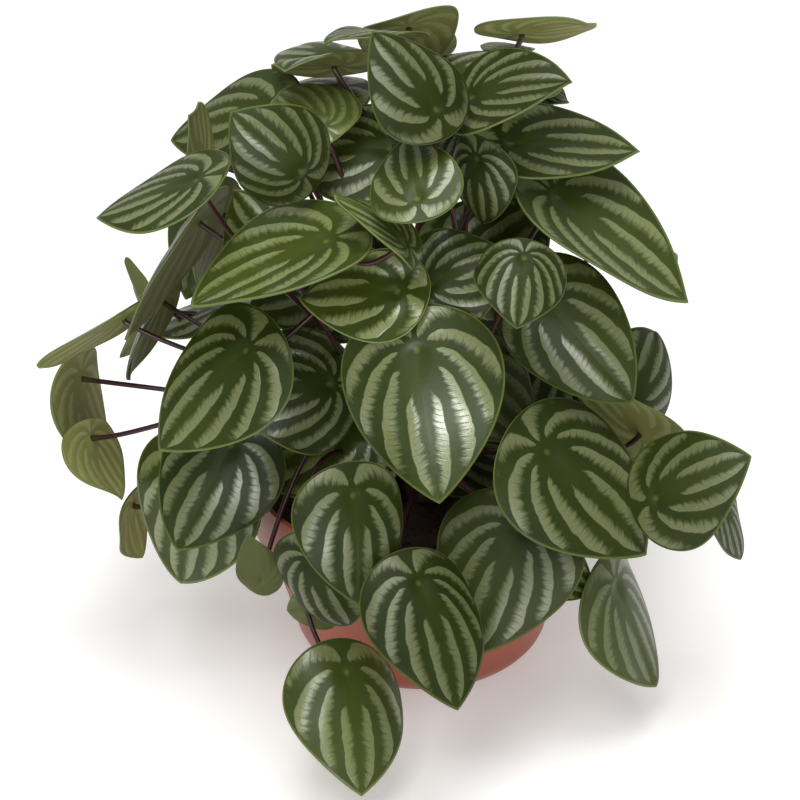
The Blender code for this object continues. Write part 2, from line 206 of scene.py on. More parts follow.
class UpperFace(LeafFace):
    """Glossy upper skin of the leaf: dark along the veins, silver between them, where air lies under it."""

    name = "watermelon peperomia leaf, upper skin"
    dark = ("202a09", "384411")
    silver = ("60683a", "7c8355")
    olive = "475018"
    young = "596035"
    rim = "6a7638"
    dot = "6d7634"
    rough = 0.3
    relief_mm = 0.12
    patch_mm = 12.0
    grain_mm = 0.8
    fine_mm = 1.4

    def build(self) -> None:
        """Add the bands, the joint's dot, the rim and the quilted gloss."""
        self.read_leaf()
        colour, silvered = self.colours()
        add = self.add_node
        fine = add("TexNoise", {"Vector": self.spot, "Scale": 1 / self.fine_mm, "Detail": 2.0})
        height = add("Math", {0: fine, 1: 0.6, 2: silvered}, operation="MULTIPLY_ADD")
        bump = add("Bump", {"Strength": 0.5, "Distance": self.relief_mm * MM, "Height": height})
        gloss = add("MapRange", {0: silvered, 1: 0.0, 2: 1.0, 3: self.rough, 4: self.rough - 0.1})
        dull = add("MapRange", {0: self.tone, 1: 0.5, 2: 1.3, 3: 0.2, 4: 0.0})
        rough = add("Math", {0: gloss, 1: dull}, operation="ADD")
        shine = add("MapRange", {0: silvered, 1: 0.0, 2: 1.0, 3: 0.25, 4: 1.0})
        fresh = add("MapRange", {0: self.tone, 1: 0.5, 2: 1.3, 3: 0.4, 4: 1.0})
        wax = add("Math", {0: shine, 1: fresh}, operation="MULTIPLY")
        self.set(Base_Color=colour, Roughness=rough, Normal=bump, IOR=1.5, Specular_IOR_Level=wax)

    def colours(self) -> tuple[bpy.types.Node, bpy.types.Node]:
        """Lay the colours over each other.

        Returns:
            The colour, and the share of silver that the side veins leave.
        """
        add = self.add_node
        band, veinlet = self.bands()
        patch = add("TexNoise", {"Vector": self.spot, "Scale": 1 / self.patch_mm, "Detail": 3.0})
        green = add("Mix", {0: patch, 6: linear(self.dark[0]), 7: linear(self.dark[1])}, **COLOURS)
        inner = add("MapRange", {0: self.number, 1: 0.0, 2: 1.6, 3: 0.25, 4: 0.0})
        middle = add("Mix", {0: inner, 6: green, 7: linear(self.olive)}, **COLOURS)
        young = add("Mix", {0: self.faded, 6: middle, 7: linear(self.young)}, **COLOURS)
        grain = add("TexNoise", {"Vector": self.spot, "Scale": 1 / self.grain_mm, "Detail": 2.0})
        pale = add("Mix", {0: grain, 6: linear(self.silver[0]), 7: linear(self.silver[1])}, **COLOURS)
        clear = add("MapRange", {0: veinlet, 1: 0.0, 2: 1.0, 3: 1.0, 4: 0.4})
        silvered = add("Math", {0: band, 1: clear}, operation="MULTIPLY")
        banded = add("Mix", {0: silvered, 6: young, 7: pale}, **COLOURS)
        near = add("MapRange", {0: self.reach, 1: 0.3, 2: 1.7, 3: 0.5, 4: 0.0}, **SMOOTHED)
        dotted = add("Mix", {0: near, 6: banded, 7: linear(self.dot)}, **COLOURS)
        margin = add("Attribute", attribute_name="margin").outputs["Fac"]
        hem = add("MapRange", {0: margin, 1: 0.968, 2: 0.992, 3: 0.0, 4: 0.9}, **SMOOTHED)
        hemmed = add("Mix", {0: hem, 6: dotted, 7: linear(self.rim)}, **COLOURS)
        # The tone darkens or lightens the whole upper skin: the leaf's own tone together with painted shade
        # and painted light.
        return add("HueSaturation", {"Color": hemmed, "Value": self.tone}), silvered


class UnderFace(LeafFace):
    """Matt underside of the leaf: pale grey-green, with the bands showing faintly through."""

    name = "watermelon peperomia leaf, underside"
    green = "676b3c"
    pale = "8a8e64"
    warm = "777042"
    patch_mm = 14.0

    def build(self) -> None:
        """Add the faint bands and warm patches."""
        self.read_leaf()
        add = self.add_node
        faint = add("Math", {0: self.bands()[0], 1: 0.6}, operation="MULTIPLY")
        banded = add("Mix", {0: faint, 6: linear(self.green), 7: linear(self.pale)}, **COLOURS)
        patch = add("TexNoise", {"Vector": self.spot, "Scale": 1 / self.patch_mm, "Detail": 2.0})
        share = add("MapRange", {0: patch, 1: 0.4, 2: 0.75, 3: 0.0, 4: 0.5})
        warmed = add("Mix", {0: share, 6: banded, 7: linear(self.warm)}, **COLOURS)
        # The tone darkens or lightens the whole underside: the leaf's own tone together with painted shade
        # and painted light.
        toned = add("HueSaturation", {"Color": warmed, "Value": self.tone})
        self.set(Base_Color=toned, Roughness=0.6, Specular_IOR_Level=0.12)


class LeafRim(Finish):
    """The thin cut-looking edge of the blade, where the pale inner tissue shows."""

    name = "watermelon peperomia leaf, edge"

    def build(self) -> None:
        """Set one colour: the edge is under a millimetre wide."""
        self.set(Base_Color=linear("5c6a36"), Roughness=0.45, IOR=1.42)


class PetioleSkin(Finish):
    """Smooth wine-red petiole that turns green just under the blade."""

    name = "peperomia petiole, wine red"

    def build(self) -> None:
        """Add the change from red to green and fine lengthwise streaks."""
        add = self.add_node
        place = add("Attribute", attribute_name="place").outputs["Vector"]
        way = add("SeparateXYZ", {0: place})
        streak = add("TexNoise", {"Vector": place, "Scale": 1 / 3.0, "Detail": 2.0})
        red = add("Mix", {0: streak, 6: linear("1f0a0b"), 7: linear("45191a")}, **COLOURS)
        turn = add("MapRange", {0: way, 1: 0.9, 2: 1.0, 3: 0.0, 4: 0.55}, **SMOOTHED)
        skin = add("Mix", {0: turn, 6: red, 7: linear("4f5a26")}, **COLOURS)
        self.set(Base_Color=skin, Roughness=0.35, IOR=1.42)


class MouldedPot(Finish):
    """Injection-moulded polypropylene in terracotta: a satin skin with a faint flow mottle."""

    name = "polypropylene, moulded terracotta"
    mottle_mm = 30
    skin_mm = 1.2

    def build(self) -> None:
        """Add the flow mottle and the fine skin."""
        add = self.add_node
        spot = add("TexCoord").outputs["Object"]
        mottle = add("TexNoise", {"Vector": spot, "Scale": 1 / (self.mottle_mm * MM), "Detail": 3.0})
        colour = add("Mix", {0: mottle, 6: linear("8e4533"), 7: linear("a35139")}, **COLOURS)
        skin = add("TexNoise", {"Vector": spot, "Scale": 1 / (self.skin_mm * MM), "Detail": 2.0})
        bump = add("Bump", {"Strength": 0.15, "Distance": 0.1 * MM, "Height": skin})
        rough = add("MapRange", {0: mottle, 1: 0.3, 2: 0.7, 3: 0.3, 4: 0.42})
        self.set(Base_Color=colour, Roughness=rough, Normal=bump, IOR=1.49)


class Peat(Finish):
    """Moist peat potting mix: nearly black, with brown crumbs."""

    name = "peat potting mix, moist"
    crumb_mm = 4

    def build(self) -> None:
        """Add crumbs a few millimetres across."""
        add = self.add_node
        spot = add("TexCoord").outputs["Object"]
        crumbs = add("TexNoise", {"Vector": spot, "Scale": 1 / (self.crumb_mm * MM), "Detail": 5.0})
        colour = add("Mix", {0: crumbs, 6: linear("120d0a"), 7: linear("453427")}, **COLOURS)
        bump = add("Bump", {"Strength": 0.8, "Distance": 1.0 * MM, "Height": crumbs})
        self.set(Base_Color=colour, Roughness=0.9, Normal=bump)


class CrownBark(Finish):
    """Short stem bases of the crown: brown-green, with old leaf scars."""

    name = "peperomia crown, scarred stem"
    scar_mm = 3.5

    def build(self) -> None:
        """Add the scars."""
        add = self.add_node
        spot = add("TexCoord").outputs["Object"]
        scars = add("TexVoronoi", {"Vector": spot, "Scale": 1 / (self.scar_mm * MM)})
        colour = add("Mix", {0: scars, 6: linear("2b1c16"), 7: linear("4a3d26")}, **COLOURS)
        bump = add("Bump", {"Strength": 0.7, "Distance": 0.8 * MM, "Height": scars})
        self.set(Base_Color=colour, Roughness=0.6, Normal=bump)


class StudioFloor(Finish):
    """Opal light table: matt white acrylic that is lit faintly from below."""

    name = "opal acrylic, matt white"

    def build(self) -> None:
        """Set one pale colour and its faint glow."""
        self.set(Base_Color=linear("f6f6f4"), Roughness=0.9)
        self.set(Emission_Color=linear("ffffff"), Emission_Strength=0.26)


class Skin(Enum):
    """The four surfaces of a leaf, in the order of its material slots."""

    UPPER = 0
    UNDER = 1
    RIM = 2
    PETIOLE = 3


@dataclass(frozen=True)
class Growth:
    """Where one leaf grows, in millimetres and degrees. The values are those that its CAD node was made with.

    The joint is where the petiole meets the blade and the tip is where the midrib ends. Roll turns the blade
    about the line between them, droop bends the midrib and cup the halves. Root is the bearing and height of
    the petiole's foot on the crown; bow, lift and lean shape its way up.
    """

    name: str
    joint: tuple[float, float, float]
    tip: tuple[float, float, float]
    roll: float
    width: float
    droop: float
    cup: float
    root: tuple[float, float]
    bow: float = 0
    lift: float = 0
    lean: float = 0.7


LEAVES = (
    Growth("leaf_01", (-29, -98, 48), (-23, -130, 14), -15, 54, 30, 42, (245, 4), -36, 60),
    Growth("leaf_02", (-2, -107, 95), (12, -135, 58), -5, 52, 35, 40, (270, 18), 0, 0),
    Growth("leaf_03", (-26, -92, 123), (-25, -104, 83), -18, 48, 35, 38, (274, 32), 0, 0),
    Growth("leaf_04", (-42, -84, 89), (-29, -76, 53), 139, 43, 51, 38, (240, 25)),
    Growth("leaf_05", (35, -76, 98), (18, -96, 54), -20, 58, 24, 20, (300, 18), 0, 0),
    Growth("leaf_06", (46, -66, 126), (85, -74, 85), 33, 62, 24, 22, (309, 32), 0, 0),
    Growth("leaf_07", (86, -75, 111), (120, -79, 132), 45, 48, 30, 28, (345, 18), 28, 0),
    Growth("leaf_08", (116, -45, 90), (125, -46, 64), 16, 30, 35, 15, (330, 25), 0, 0, 1.5),
    Growth("leaf_09", (75, -64, 64), (92, -69, 19), 10, 54, 5, 30, (290, 18), -30, 40),
    Growth("leaf_10", (-3, -57, 164), (6, -75, 109), 32, 64, 26, 28, (275, 46), 0, 0),
    Growth("leaf_11", (-67, -48, 159), (-100, -54, 119), -32, 56, 22, 28, (290, 60), 0, 130),
    Growth("leaf_12", (-74, -42, 114), (-96, -52, 72), -50, 52, 28, 28, (206, 32), 0, 0),
    Growth("leaf_13", (-87, -30, 93), (-98, -30, 41), -56, 61, 20, 4, (180, 25)),
    Growth("leaf_14", (-36, -29, 134), (-76, -37, 132), -50, 56, 34, 40, (212, 46), 0, 0),
    Growth("leaf_15", (-36, -48, 205), (-85, -64, 187), -3, 58, 10, -16, (190, 74), -20, 105),
    Growth("leaf_16", (-10, -46, 183), (-47, -32, 173), -40, 40, 28, 28, (240, 60), -12, 0),
    Growth("leaf_17", (2, -40, 183), (33, -30, 190), 40, 44, 30, 33, (270, 60), 0, 0),
    Growth("leaf_18", (36, -52, 200), (33, -72, 181), -10, 38, 30, 40, (291, 32), -12, 0),
    Growth("leaf_19", (44, -39, 176), (79, -51, 138), 60, 50, 22, 42, (318, 46), 0, 0),
    Growth("leaf_20", (51, -9, 204), (101, -24, 167), 8, 62, 6, -22, (350, 53)),
    Growth("leaf_21", (33, 3, 221), (83, 10, 215), 11, 51, 6, -9, (10, 60)),
    Growth("leaf_22", (17, -17, 248), (53, -26, 258), 22, 42, 28, -5, (340, 67)),
    Growth("leaf_23", (4, -43, 254), (-19, -25, 276), -15, 42, 32, 34, (270, 74), 30, 10, 1.5),
    Growth("leaf_24", (-3, -60, 227), (-6, -32, 238), -16, 35, 30, 15, (230, 74), 0, 105, 4),
    Growth("leaf_25", (19, -22, 225), (22, -15, 195), -163, 34, 37, 43, (0, 74), -40, -20),
    Growth("leaf_26", (-45, -33, 225), (-70, -31, 248), -68, 44, 42, 48, (210, 60), 0, 0),
    Growth("leaf_27", (-61, 42, 218), (-101, 56, 198), -30, 52, 27, 23, (148, 46)),
    Growth("leaf_28", (-38, 1, 229), (-56, 21, 234), -20, 44, 30, 30, (180, 60)),
    Growth("leaf_29", (-83, -41, 226), (-121, -32, 206), -10, 48, 10, 13, (160, 53), -10, 0, 1.5),
    Growth("leaf_30", (-86, 18, 206), (-87, -4, 235), 83, 39, 20, 0, (160, 67), 0, 0, 1.5),
    Growth("leaf_31", (-7, -53, 206), (-33, -46, 221), 8, 33, 38, -4, (135, 80), -12, 100, 6),
    Growth("leaf_32", (-11, 19, 259), (-37, -1, 262), 15, 39, 32, 0, (103, 74), 0, 0),
    Growth("leaf_33", (-6, 41, 253), (-1, 66, 225), -22, 41, 5, -14, (90, 60), 0, 0),
    Growth("leaf_34", (37, 25, 257), (60, -5, 272), -18, 46, 17, 0, (70, 60), 20, 25),
    Growth("leaf_35", (-34, 25, 244), (-52, -6, 254), 20, 40, 42, 6, (60, 74), -40),
    Growth("leaf_36", (85, 9, 105), (98, 48, 116), 47, 46, 38, 42, (0, 32), 0, 0),
    Growth("leaf_37", (87, -14, 103), (63, -37, 136), 5, 56, 60, 6, (343, 32), 0, 0),
    Growth("leaf_38", (-119, 7, 144), (-148, -31, 143), 46, 48, 9, 10, (190, 39)),
    Growth("leaf_39", (-139, 14, 112), (-122, -8, 78), 140, 46, 60, -8, (170, 32), 0, -20),
    Growth("leaf_40", (-133, -10, 98), (-119, -28, 81), 150, 37, 60, 0, (180, 46), 0, 10),
    Growth("leaf_41", (-121, 10, 54), (-119, 15, 24), -87, 32, 25, 18, (195, 18), 6, 10),
    Growth("leaf_42", (-87, -1, 190), (-112, -40, 159), 62, 60, 25, 19, (140, 60)),
    Growth("leaf_43", (-107, 38, 135), (-118, 2, 118), 69, 46, 34, 26, (165, 18), 0, 0),
    Growth("leaf_44", (-82, 53, 167), (-90, 15, 150), 87, 46, 40, 0, (154, 32), 0, 0),
    Growth("leaf_45", (-62, -66, 67), (-67, -66, 89), -90, 18, 10, 16, (220, 18), 0, 75),
    Growth("leaf_46", (44, 58, 195), (74, 96, 176), 0, 56, 30, 30, (50, 53)),
    Growth("leaf_47", (4, 72, 206), (8, 122, 190), 0, 54, 30, 30, (85, 46), 0, 0),
    Growth("leaf_48", (-55, 66, 196), (-84, 104, 174), 0, 54, 30, 30, (127, 46), 0, 0),
    Growth("leaf_49", (-32, 88, 142), (-42, 134, 116), 0, 56, 30, 30, (106, 46), 0, 0),
    Growth("leaf_50", (38, 92, 146), (54, 134, 118), 0, 56, 30, 30, (64, 46), 0, 0),
    Growth("leaf_51", (74, 58, 153), (108, 84, 133), 0, 54, 30, 30, (40, 46)),
    Growth("leaf_52", (-84, 68, 118), (-118, 96, 92), 0, 52, 30, 30, (137, 32), 0, 0),
    Growth("leaf_53", (8, 98, 92), (12, 136, 58), 0, 56, 30, 30, (86, 32), 0, 0),
    Growth("leaf_54", (-48, 90, 76), (-64, 124, 42), 0, 52, 30, 30, (120, 32), 0, 20),
    Growth("leaf_55", (64, 80, 80), (92, 108, 46), 0, 52, 30, 30, (51, 32), 0, 10),
    Growth("leaf_56", (28, 45, 232), (50, 83, 220), 0, 50, 30, 30, (30, 53)),
    Growth("leaf_57", (-35, 56, 236), (-54, 90, 224), 0, 42, 30, 30, (120, 60)),
)

# Shorter leaves inside the canopy that have no node of their own.
INNER_LEAVES = (
    Growth("inner_01", (-13, 11, 215), (-58, 14, 208), -35, 49, 25, 25, (150, 70)),
    Growth("inner_02", (14, -24, 140), (42, -34, 112), 40, 48, 25, 25, (320, 40)),
    Growth("inner_03", (10, -11, 171), (50, 16, 188), 35, 55, 25, 25, (0, 70)),
    Growth("inner_04", (-23, -24, 111), (-66, -23, 86), -45, 53, 25, 25, (200, 20)),
    Growth("inner_05", (-23, 13, 158), (-70, 19, 142), -30, 53, 25, 25, (170, 55)),
    Growth("inner_06", (-34, 64, 218), (-77, 57, 205), 0, 49, 25, 25, (130, 60)),
    Growth("inner_07", (-54, -32, 191), (-72, -5, 204), -30, 38, 25, 25, (200, 50)),
    Growth("inner_08", (11, -19, 98), (45, -33, 91), 15, 40, 25, 25, (330, 40)),
    Growth("inner_09", (6, 27, 236), (47, 49, 236), 5, 50, 25, 25, (60, 75)),
    Growth("inner_10", (18, 25, 221), (7, 19, 198), -45, 40, 25, 25, (54, 64)),
    Growth("inner_11", (56, 25, 121), (40, 1, 84), -30, 46, 25, 25, (24, 40)),
    Growth("inner_12", (-86, 70, 163), (-99, 58, 125), -60, 34, 25, 25, (141, 42)),
    Growth("inner_13", (-119, 70, 121), (-126, 88, 130), -60, 11, 25, 60, (150, 31)),
    Growth("inner_14", (-112, 55, 118), (-127, 55, 99), -60, 14, 25, 50, (154, 31)),
    Growth("inner_15", (-36, -70, 61), (-53, -70, 56), -75, 24, 25, 25, (243, 14)),
    Growth("inner_16", (46, -75, 81), (65, -69, 65), 75, 26, 25, 25, (302, 22)),
    Growth("inner_17", (37, 35, 247), (22, 41, 245), 15, 30, 25, 25, (43, 62)),
    Growth("inner_18", (5, 70, 228), (13, 82, 234), 60, 16, 25, 60, (86, 57)),
    Growth("inner_19", (45, 58, 220), (58, 50, 217), 0, 22, 25, 25, (52, 56)),
)

# How light single leaves are: partly their own tone, young ones lighter and old ones darker, and partly
# painted shade and painted light, darker for leaves in the canopy's shade and lighter for leaves that face
# the light.
TONES_AND_PAINTED_SHADING = {
    1.7: ("leaf_28", "leaf_30", "leaf_33", "leaf_40"),
    1.5: ("leaf_16", "leaf_31", "leaf_34", "leaf_37", "leaf_38", "leaf_39", "leaf_41", "inner_04"),
    1.3: ("leaf_15",),
    1.15: ("leaf_01", "leaf_10", "leaf_13", "leaf_20"),
    0.9: ("leaf_14", "leaf_17", "leaf_27", "leaf_43"),
    0.75: ("leaf_06", "leaf_07", "leaf_19", "leaf_25", "leaf_26", "leaf_42", "inner_03"),
    0.7: ("leaf_03", "leaf_08", "leaf_12", "leaf_18", "leaf_22", "leaf_23", "leaf_36", "leaf_45"),
    0.6: ("leaf_02", "leaf_04", "leaf_05", "inner_02", "inner_05", "inner_08", "inner_10", "inner_11"),
}

# How faint the bands of single leaves are: 1 is a young leaf that has none yet.
FADED = {
    1.0: ("leaf_45", "inner_13", "inner_14", "inner_15", "inner_18"),
    0.4: ("leaf_09", "leaf_28", "inner_02"),
    0.15: ("leaf_01", "leaf_05", "leaf_08", "leaf_31"),
    0.08: ("leaf_07", "leaf_13", "leaf_15", "leaf_19", "leaf_20", "leaf_24", "leaf_26", "leaf_27", "leaf_36"),
}


@dataclass(frozen=True)
class Blade:
    """Where a leaf's blade lies, and how its veins run.

    The veins leave the joint fanwise, swing out with sweep and close in on the tip with closing. Past the
    shoulder, an angle in degrees, they crowd towards the base.
    """

    growth: Growth
    joint_to_tip: float = 0.77
    tip_power: float = 0.8
    steep: float = 0.15
    closing: float = 0.6
    sweep: float = 125
    shoulder: float = 80
    crowding: float = 1.4

    def __post_init__(self) -> None:
        """Work out the blade's directions at the joint, its length and its bends."""
        leaf = self.growth
        joint = Vector(leaf.joint) * MM
        chord = Vector(leaf.tip) * MM - joint
        along = chord.normalized()
        off = UP - along * along.z
        if off.length < self.steep:
            outward = Vector((joint.x, joint.y, 0)).normalized()
            off = outward - along * outward.dot(along)
        off.normalize()
        off.rotate(Quaternion(along, math.radians(leaf.roll)))
        across = off.cross(along)
        droop = math.radians(leaf.droop)
        turn = Quaternion(across, -droop / 2)
        arc = chord.length * (droop / 2) / math.sin(droop / 2)
        store = object.__setattr__
        store(self, "joint", joint)
        store(self, "across", across)
        store(self, "along", turn @ along)
        store(self, "off", turn @ off)
        store(self, "length", arc / self.joint_to_tip)
        store(self, "half_width", leaf.width / 2 * MM)
        store(self, "droop", droop / arc)
        store(self, "cup", math.radians(leaf.cup) / (leaf.width / 2 * MM))

    def outline(self, reach: float, angle: float) -> tuple[float, float]:
        """Find where a spot of the blade lies.

        Args:
            reach: How far out from the joint it is, 1 at the margin.
            angle: Its direction in radians, 0 towards the tip.

        Returns:
            Its place along the length and across the half width, as shares.
        """
        widest = math.acos(-self.tip_power / (self.tip_power + 2))
        across = math.sin(angle) * abs(math.sin(angle / 2)) ** self.tip_power
        across /= math.sin(widest) * math.sin(widest / 2) ** self.tip_power
        along = (math.cos(angle) + 1) / 2 - (1 - self.joint_to_tip)
        return along * reach, across * reach

    @staticmethod
    def bend(distance: float, height: float, curvature: float) -> tuple[float, float]:
        """Find where a point lands when the straight line it stands over bends down to an arc.

        Args:
            distance: Its distance along the line.
            height: Its height over the line.
            curvature: One over the arc's radius.

        Returns:
            The new distance and height.
        """
        if abs(curvature) < 0.01:
            return distance, height
        radius = 1 / curvature + height
        angle = distance * curvature
        return radius * math.sin(angle), radius * math.cos(angle) - 1 / curvature

    def place(self, along: float, across: float, height: float) -> Vector:
        """Find the point of the bent blade for a spot of the flat one.

        Args:
            along: Its place along the length, as a share.
            across: Its place across the half width, as a share.
            height: Its height over the middle of the upper face, in metres.

        Returns:
            The point in the row frame.
        """
        across, height = self.bend(across * self.half_width, height, self.cup)
        along, height = self.bend(along * self.length, height, self.droop)
        return self.joint + self.along * along + self.across * across + self.off * height

    def vein_angle(self, along: float, across: float) -> float:
        """Find which vein direction a spot belongs to.

        A vein leaves the joint straight, sweeps forward and closes in on the tip.

        Args:
            along: The spot's place along the length, as a share.
            across: Its place across the half width, as a share.

        Returns:
            The direction in degrees in which its vein leaves the joint, 0 for the midrib, 180 for the base.
        """
        side = abs(across) * self.half_width / self.length
        at_joint = math.atan2(side, along)
        at_tip = math.atan2(side, self.joint_to_tip - along)
        return math.degrees(at_joint + self.closing * at_tip) + self.sweep * side

    def vein_number(self, along: float, across: float, spacing: float, veins: int) -> float:
        """Number a spot by the veins of its half: 0 on the midrib, a whole number on each vein.

        Towards the base the veins stand closer, and the last of them runs straight back from the joint.

        Args:
            along: The spot's place along the length, as a share.
            across: Its place across the half width, as a share.
            spacing: The angle between two veins towards the tip, in degrees.
            veins: How many veins the half has.

        Returns:
            The number.
        """
        angle = self.vein_angle(along, across)
        closer = max(0.0, (angle - self.shoulder) / (180 - self.shoulder)) ** self.crowding
        return angle / spacing + (veins - 180 / spacing) * closer


@dataclass
class LeafMaker:
    """Makes leaves: a veined blade on its petiole, as one piece.

    The angle between two veins lies within the spacings, in degrees, and beyond the widest a half has one
    vein less. Silver is the share of the room between two veins that a band fills, less what stays dark.
    """

    crown: Vector
    crown_radius: float
    skins: list[bpy.types.Material]
    rings: int = 22
    spokes: int = 96
    thickness: float = 0.7 * MM
    quilt: float = 0.09 * MM
    wave: float = 0.7 * MM
    dimple: float = 0.9 * MM
    spacings: tuple[float, float] = (39, 46)
    widest: float = 44
    silver: float = 0.72
    dark: float = 0.12
    hem: float = 0.7
    petiole_radius: float = 1.1 * MM
    foot_swell: float = 1.25
    petiole_sides: int = 9
    petiole_steps: int = 22
    sink: float = 1.5 * MM
    neck_mm: float = 2.6
    seat_mm: float = 1.2

    def flat_blade(self) -> bmesh.types.BMesh:
        """Spin a spoke into a disc and extrude it down to a thin plate.

        Returns:
            A plate of radius 1 about the origin, its top at 0 and its underside at -1.
        """
        plate = bmesh.new()
        spoke = [plate.verts.new((self.ring(step), 0, 0)) for step in range(self.rings + 1)]
        edges = [plate.edges.new(pair) for pair in zip(spoke, spoke[1:])]
        turn = {"cent": (0, 0, 0), "axis": UP, "angle": math.tau, "steps": self.spokes, "use_merge": True}
        bmesh.ops.spin(plate, geom=spoke + edges, **turn)
        bmesh.ops.remove_doubles(plate, verts=plate.verts, dist=MERGE)
        made = bmesh.ops.extrude_face_region(plate, geom=plate.faces[:], use_keep_orig=True)
        lower = [part for part in made["geom"] if isinstance(part, bmesh.types.BMVert)]
        bmesh.ops.translate(plate, verts=lower, vec=-UP)
        bmesh.ops.recalc_face_normals(plate, faces=plate.faces)
        for face in plate.faces:
            face.smooth = True
            side = {1: Skin.UPPER, -1: Skin.UNDER, 0: Skin.RIM}[round(face.normal.z)]
            face.material_index = side.value
        return plate

    def ring(self, step: int) -> float:
        """Return a ring's radius: the rings stand closer towards the margin."""
        share = step / self.rings
        return share * (1.25 - 0.25 * share)

    def relief(self, reach: float, angle: float, number: float, phase: float) -> float:
        """Find how far the skin stands off the smooth blade.

        Args:
            reach: How far out from the joint the spot is, 1 at the margin.
            angle: Its direction in radians.
            number: Its place between the veins, a whole number on each.
            phase: This leaf's own turn of the waves.

        Returns:
            The height in metres.
        """
        swell = -math.cos(math.tau * number) * self.quilt
        swell *= smooth(0.2, 0.6, reach) * (1 - smooth(0.82, 1.0, reach))
        ripple = math.sin(3 * angle + phase) + 0.5 * math.sin(5 * angle - 2 * phase)
        return swell + self.wave * ripple * reach**3 - self.dimple * (1 - smooth(0.0, 0.22, reach))

    def blade(self, blade: Blade, shape: bmesh.types.BMesh, dice: random.Random) -> None:
        """Lay a flat plate along a leaf's blade and write what its skins read.

        Args:
            blade: Where the blade lies.
            shape: The flat plate, which is changed.
            dice: This leaf's own random numbers.
        """
        vein = shape.verts.layers.float_vector.new("vein")
        place = shape.verts.layers.float_vector.new("place")
        margin = shape.verts.layers.float.new("margin")
        tone = shape.verts.layers.float.new("tone")
        faded = shape.verts.layers.float.new("faded")
        spacing = dice.uniform(*self.spacings)
        veins = 4 if spacing > self.widest else 5
        phase = dice.uniform(0, math.tau)
        # The tone holds the leaf's own tone and its painted shade and painted light from the table, with a
        # little random tone on top.
        shade = next((shade for shade, names in TONES_AND_PAINTED_SHADING.items() if blade.growth.name in names), 1.0)
        shade *= dice.uniform(0.95, 1.05)
        pale = next((share for share, names in FADED.items() if blade.growth.name in names), 0.0)
        offset = dice.uniform(0, 500)
        for vert in shape.verts:
            reach = vert.co.xy.length
            angle = math.atan2(vert.co.y, vert.co.x)
            along, across = blade.outline(reach, angle)
            number = blade.vein_number(along, across, spacing, veins)
            apart = math.hypot(along * blade.length, across * blade.half_width)
            start = blade.length * (0.04 + 0.17 * math.exp(-0.8 * number))
            rise = blade.length * (0.03 + 0.2 * math.exp(-0.6 * number))
            room = self.silver * smooth(start, start + rise, apart) - self.dark
            room -= self.hem * smooth(0.9, 1.0, reach)
            vert[vein] = (number, room, apart / MM)
            vert[place] = (along * blade.length / MM, across * blade.half_width / MM, offset)
            vert[margin] = reach
            vert[tone] = shade
            vert[faded] = pale
            height = self.relief(reach, angle, number, phase) + vert.co.z * self.thickness
            vert.co = blade.place(along, across, height)

    def path(self, leaf: Growth, blade: Blade) -> list[Vector]:
        """Return the petiole's points from inside the crown to the underside of the blade.

        Args:
            leaf: How the leaf grows.
            blade: Where its blade lies.

        Returns:
            The points, in metres.
        """
        bearing, height = (math.radians(angle) for angle in leaf.root)
        flat = math.cos(height)
        out = Vector((flat * math.cos(bearing), flat * math.sin(bearing), math.sin(height)))
        foot = self.crown + out * self.crown_radius
        neck = blade.joint - blade.off * self.neck_mm * MM
        span = (blade.joint - foot).length
        toward = (blade.joint - foot) / span
        side = UP.cross(toward).normalized() * leaf.bow * MM
        start = (out + UP * 0.8).normalized()
        lean = (blade.off * leaf.lean + blade.along * max(0, toward.dot(blade.along))).normalized()
        first = foot + start * span * 0.4 + side + UP * leaf.lift * MM
        second = neck - lean * span * 0.35 + side / 2
        points = [foot - out * self.sink, foot]
        for step in range(1, self.petiole_steps + 1):
            share = step / self.petiole_steps
            rest = 1 - share
            early = foot * rest**3 + first * 3 * rest**2 * share
            points.append(early + second * 3 * rest * share**2 + neck * share**3)
        points.append(blade.joint - blade.off * self.seat_mm * MM)
        return points

    def petiole(self, leaf: Growth, blade: Blade, shape: bmesh.types.BMesh) -> None:
        """Add the petiole to a leaf's mesh by extruding a ring along its path.

        Args:
            leaf: How the leaf grows.
            blade: Where its blade lies.
            shape: The leaf's mesh, which gains the petiole.
        """
        place = shape.verts.layers.float_vector["place"]
        points = self.path(leaf, blade)
        turn = UP.rotation_difference((points[1] - points[0]).normalized())
        known = set(shape.faces)
        radius = self.petiole_radius * self.foot_swell
        made = bmesh.ops.create_circle(shape, cap_ends=True, radius=radius, segments=self.petiole_sides)
        ring = made["verts"]
        stand = Matrix.Translation(points[0]) @ turn.to_matrix().to_4x4()
        bmesh.ops.transform(shape, matrix=stand, verts=ring)
        self.mark(ring, place, 0.0)
        before = turn @ UP
        edges = ring[0].link_faces[0].edges[:]
        for step, point in enumerate(points[1:], 1):
            ahead = points[min(step + 1, len(points) - 1)] - points[step - 1]
            ahead.normalize()
            made = bmesh.ops.extrude_edge_only(shape, edges=edges)
            ring = [part for part in made["geom"] if isinstance(part, bmesh.types.BMVert)]
            edges = [part for part in made["geom"] if isinstance(part, bmesh.types.BMEdge)]
            share = step / (len(points) - 1)
            swell = self.swell(share) / self.swell((step - 1) / (len(points) - 1))
            bend = before.rotation_difference(ahead).to_matrix().to_4x4()
            move = Matrix.Translation(point) @ bend @ Matrix.Scale(swell, 4)
            bmesh.ops.transform(shape, matrix=move @ Matrix.Translation(-points[step - 1]), verts=ring)
            self.mark(ring, place, share)
            before = ahead
        bmesh.ops.contextual_create(shape, geom=edges)
        fresh = [face for face in shape.faces if face not in known]
        for face in fresh:
            face.material_index = Skin.PETIOLE.value
            face.smooth = True
        bmesh.ops.recalc_face_normals(shape, faces=fresh)

